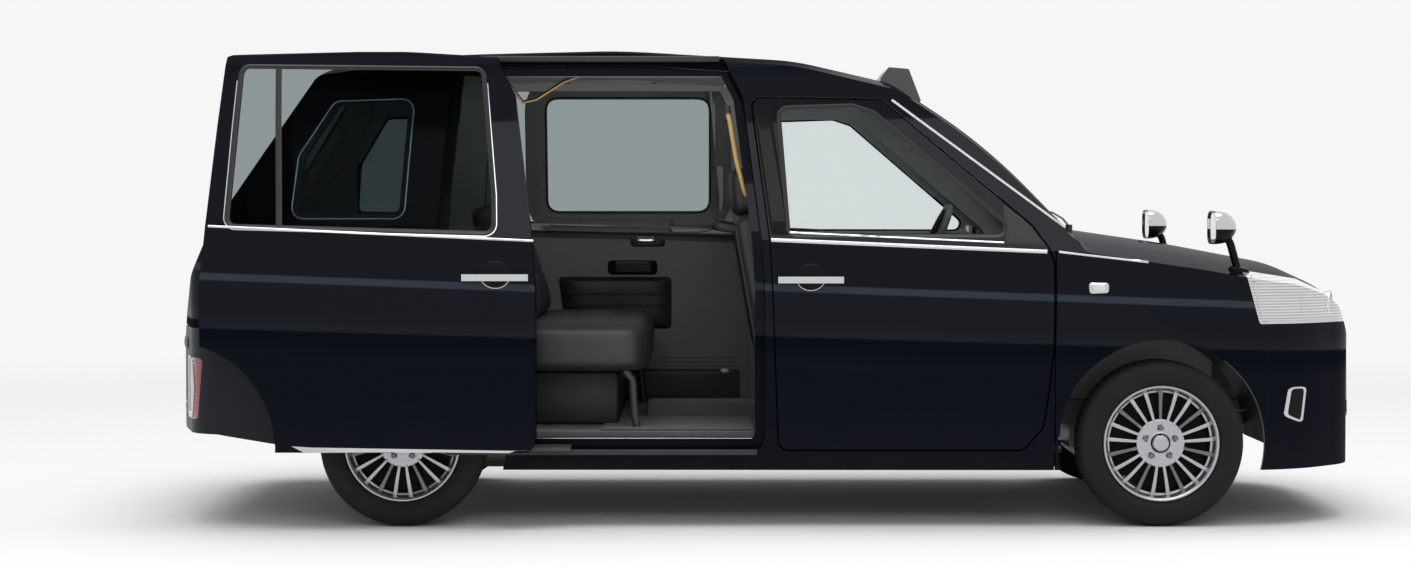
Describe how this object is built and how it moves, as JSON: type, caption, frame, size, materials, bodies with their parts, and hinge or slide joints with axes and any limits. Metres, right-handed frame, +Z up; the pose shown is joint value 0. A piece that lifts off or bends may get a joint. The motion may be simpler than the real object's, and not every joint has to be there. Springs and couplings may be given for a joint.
{
  "type": "taxi cab",
  "caption": "Tall one-box taxi cab with a sliding side door standing open, swing doors, mirrors on the front fenders and a blank roof lamp sign.",
  "frame": {"origin": "on the ground, on the centreline, midway between the axles", "axes": "+X forward, +Y to the car's left, +Z up"},
  "size_m": [4.4033, 1.864, 1.7579],
  "materials": {
    "body_paint": "gloss black-navy paint",
    "glass": "clear tinted glass",
    "privacy_glass": "dark privacy glass",
    "black_plastic": "grained black plastic",
    "grille_black": "black grille with chrome edge",
    "lamp_clear": "clear lamp cover over chrome",
    "lamp_red": "red tail lamp",
    "chrome": "bright chrome",
    "sign_plastic": "dark lamp sign cover, blank",
    "dash_plastic": "soft black dash skin",
    "seat_leather": "black synthetic leather",
    "floor_mat": "dark floor covering over steel",
    "rim_alloy": "bright machined alloy",
    "tyre_rubber": "black tyre rubber",
    "cast_steel": "cast and pressed steel",
    "engine_metal": "cast engine block",
    "exhaust_steel": "stainless exhaust"
  },
  "bodies": {
    "shell": {"side_frame_right": "body_paint", "side_frame_left": "body_paint", "fender_right": "body_paint", "fender_left": "body_paint", "sliding_door": "body_paint", "roof_panel": "body_paint", "front_bumper": "body_paint", "rear_bumper": "body_paint", "firewall": "black_plastic", "sliding_door_glass": "privacy_glass", "windscreen": "glass", "quarter_glasses": "privacy_glass", "grille": "grille_black", "headlamps": "lamp_clear", "tail_lamps": "lamp_red", "arch_liners": "black_plastic", "floor_pan": "floor_mat", "roof_sign": "sign_plastic", "fender_mirrors": "chrome", "dashboard": "dash_plastic", "front_seats": "seat_leather", "rear_bench": "seat_leather", "front_subframe": "cast_steel", "rear_axle": "cast_steel", "engine_block": "engine_metal", "exhaust": "exhaust_steel", "front_rails": "cast_steel", "tail_frame": "body_paint", "sliding_door_arms": "cast_steel"},
    "door_front_right": {"front_door_right": "body_paint", "front_glass_right": "glass"},
    "door_front_left": {"front_door_left": "body_paint", "front_glass_left": "glass"},
    "door_rear_left": {"rear_door_left": "body_paint", "rear_glass_left": "privacy_glass"},
    "tailgate": {"tailgate": "body_paint", "tailgate_glass": "privacy_glass"},
    "bonnet": {"bonnet": "body_paint"},
    "steering_wheel": {"steering_wheel": "dash_plastic"},
    "steer_right": {"knuckle_right": "cast_steel"},
    "steer_left": {"knuckle_left": "cast_steel"},
    "wheel_front_right": {"rim_front_right": "rim_alloy", "tyre_front_right": "tyre_rubber"},
    "wheel_front_left": {"rim_front_left": "rim_alloy", "tyre_front_left": "tyre_rubber"},
    "wheel_rear_right": {"rim_rear_right": "rim_alloy", "tyre_rear_right": "tyre_rubber"},
    "wheel_rear_left": {"rim_rear_left": "rim_alloy", "tyre_rear_left": "tyre_rubber"}
  },
  "joints": [
    {"name": "front_door_right", "type": "hinge", "parent": "shell", "child": "door_front_right", "pos_m": [0.9886, -0.8485, 0.6], "axis": [0, 0, 1], "range_deg": [0, 65]},
    {"name": "front_door_left", "type": "hinge", "parent": "shell", "child": "door_front_left", "pos_m": [0.9886, 0.8485, 0.6], "axis": [0, 0, -1], "range_deg": [0, 65]},
    {"name": "rear_door_left", "type": "hinge", "parent": "shell", "child": "door_rear_left", "pos_m": [-0.0586, 0.8485, 0.6], "axis": [0, 0, -1], "range_deg": [0, 68]},
    {"name": "tailgate_lift", "type": "hinge", "parent": "shell", "child": "tailgate", "pos_m": [-1.6665, 0, 1.695], "axis": [0, 1, 0], "range_deg": [0, 75]},
    {"name": "bonnet_lift", "type": "hinge", "parent": "shell", "child": "bonnet", "pos_m": [1.1064, 0, 1.078], "axis": [0, -1, 0], "range_deg": [0, 48]},
    {"name": "steer_right_turn", "type": "hinge", "parent": "shell", "child": "steer_right", "pos_m": [1.375, -0.628, 0.3015], "axis": [0, 0, 1], "range_deg": [-35, 35]},
    {"name": "steer_left_turn", "type": "hinge", "parent": "shell", "child": "steer_left", "pos_m": [1.375, 0.628, 0.3015], "axis": [0, 0, 1], "range_deg": [-35, 35]},
    {"name": "steering_wheel_turn", "type": "hinge", "parent": "shell", "child": "steering_wheel", "pos_m": [0.64, 0.365, 0.985], "axis": [-0.9135, 0, 0.4067], "range_deg": [-525, 525]},
    {"name": "roll_front_right", "type": "hinge", "parent": "steer_right", "child": "wheel_front_right", "pos_m": [1.375, -0.74, 0.3015], "axis": [0, 1, 0], "continuous": true},
    {"name": "roll_front_left", "type": "hinge", "parent": "steer_left", "child": "wheel_front_left", "pos_m": [1.375, 0.74, 0.3015], "axis": [0, 1, 0], "continuous": true},
    {"name": "roll_rear_right", "type": "hinge", "parent": "shell", "child": "wheel_rear_right", "pos_m": [-1.375, -0.74, 0.3015], "axis": [0, 1, 0], "continuous": true},
    {"name": "roll_rear_left", "type": "hinge", "parent": "shell", "child": "wheel_rear_left", "pos_m": [-1.375, 0.74, 0.3015], "axis": [0, 1, 0], "continuous": true}
  ],
  "couplings": [
    {"joint": "steer_left_turn", "follows": "steer_right_turn", "ratio": 1},
    {"joint": "steering_wheel_turn", "follows": "steer_right_turn", "ratio": 15}
  ]
}
